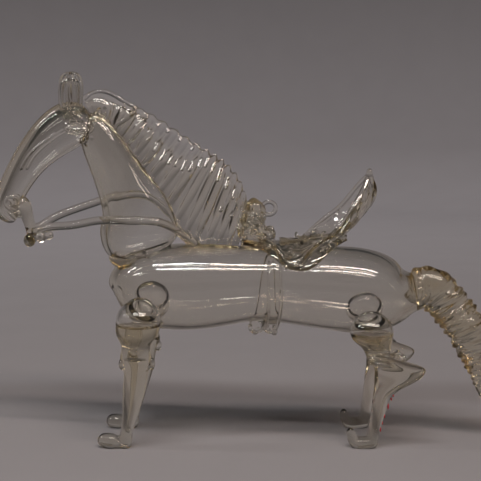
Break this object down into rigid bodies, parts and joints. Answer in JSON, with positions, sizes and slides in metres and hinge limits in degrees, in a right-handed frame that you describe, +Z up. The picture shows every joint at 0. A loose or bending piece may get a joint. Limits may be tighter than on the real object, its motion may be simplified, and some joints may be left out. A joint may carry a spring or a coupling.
{
  "type": "glass horse figurine",
  "caption": "Lampworked clear glass horse standing saddled and bridled, with blown body, crimped mane, drawn saddle horn and upturned hooves.",
  "frame": {"origin": "on the table under the middle of the horse's box", "axes": "+X from the muzzle towards the tail, +Y to the horse's off side, +Z up"},
  "size_m": [0.1725, 0.042, 0.1258],
  "materials": {
    "clear_glass": "clear fire-polished glass with a faint straw tint where it is thick"
  },
  "bodies": {
    "root": {"glass_horse": "clear_glass"}
  },
  "joints": []
}
